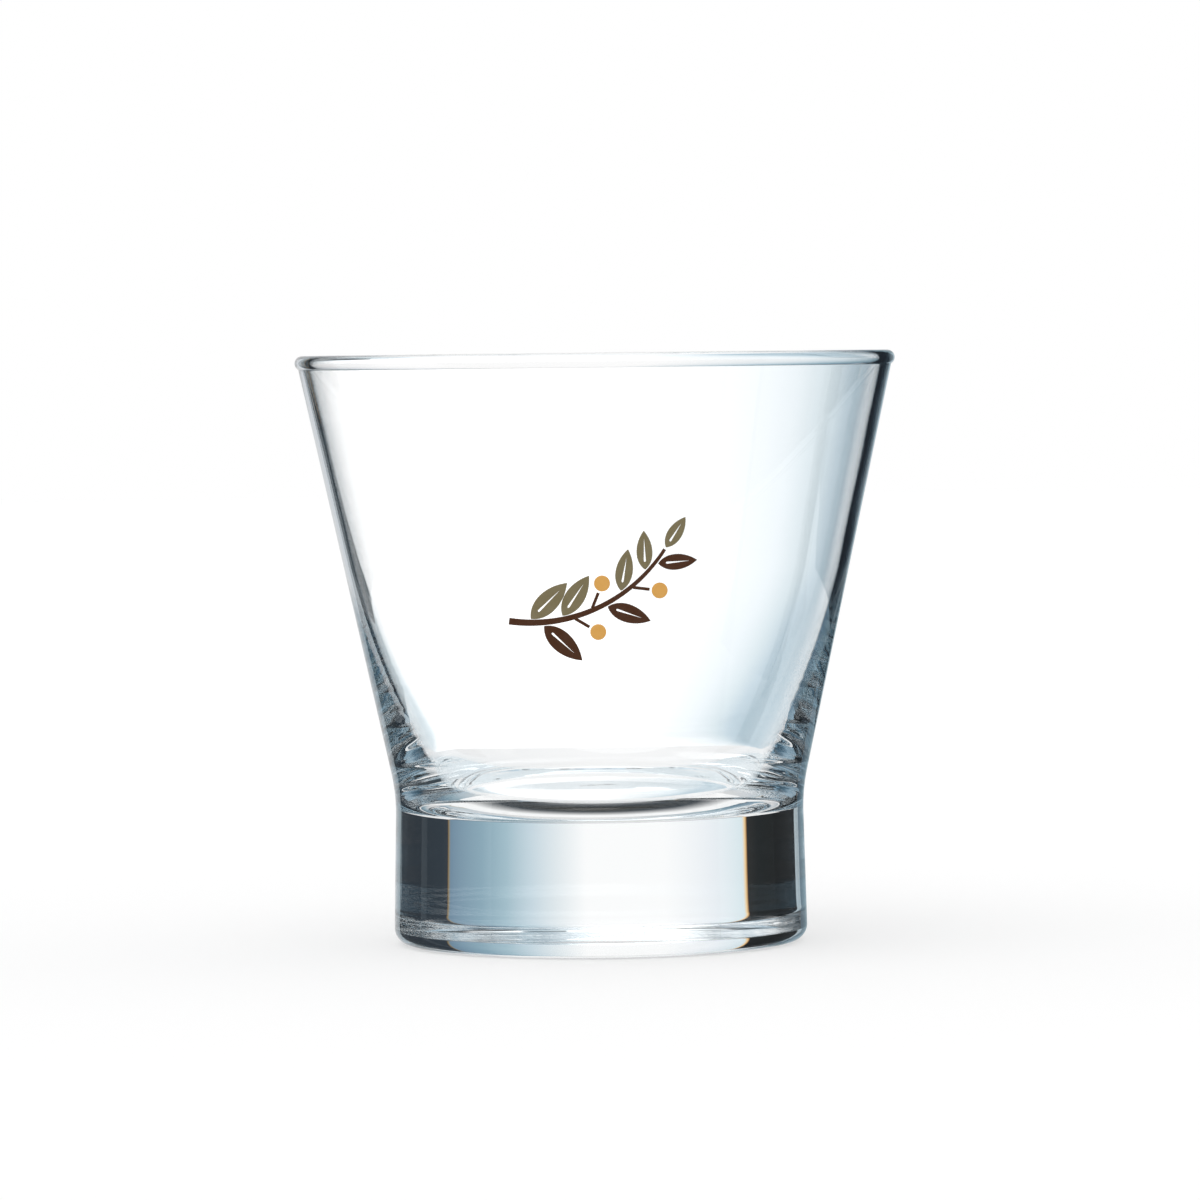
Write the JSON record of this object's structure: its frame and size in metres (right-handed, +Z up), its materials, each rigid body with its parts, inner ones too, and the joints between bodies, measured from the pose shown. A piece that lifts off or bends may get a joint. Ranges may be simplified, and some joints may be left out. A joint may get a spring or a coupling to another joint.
{
  "type": "drinking glass",
  "caption": "Clear flared tumbler with a straight conical bowl, rounded rim and thick solid foot, with a small leaf sprig printed on the front, for cold drinks.",
  "frame": {"origin": "on the table under the middle of the foot", "axes": "+Z up along the axis of the glass, towards the rim; the printed front faces -Y"},
  "size_m": [0.089, 0.089, 0.0875],
  "materials": {
    "clear_glass": "clear pressed soda-lime glass, fire-polished",
    "olive_enamel": "fired olive enamel print, satin gloss",
    "brown_enamel": "fired dark brown enamel print, satin gloss",
    "amber_enamel": "fired amber enamel print, satin gloss"
  },
  "bodies": {
    "root": {"tumbler_glass": "clear_glass", "print_stem": "brown_enamel", "print_leaf_upper_1": "olive_enamel", "print_leaf_upper_2": "olive_enamel", "print_leaf_upper_4": "olive_enamel", "print_leaf_upper_5": "olive_enamel", "print_leaf_tip": "olive_enamel", "print_leaf_lower_1": "brown_enamel", "print_leaf_lower_3": "brown_enamel", "print_leaf_lower_5": "brown_enamel", "print_berry_upper_3": "amber_enamel", "print_berry_lower_2": "amber_enamel", "print_berry_lower_4": "amber_enamel"}
  },
  "joints": []
}
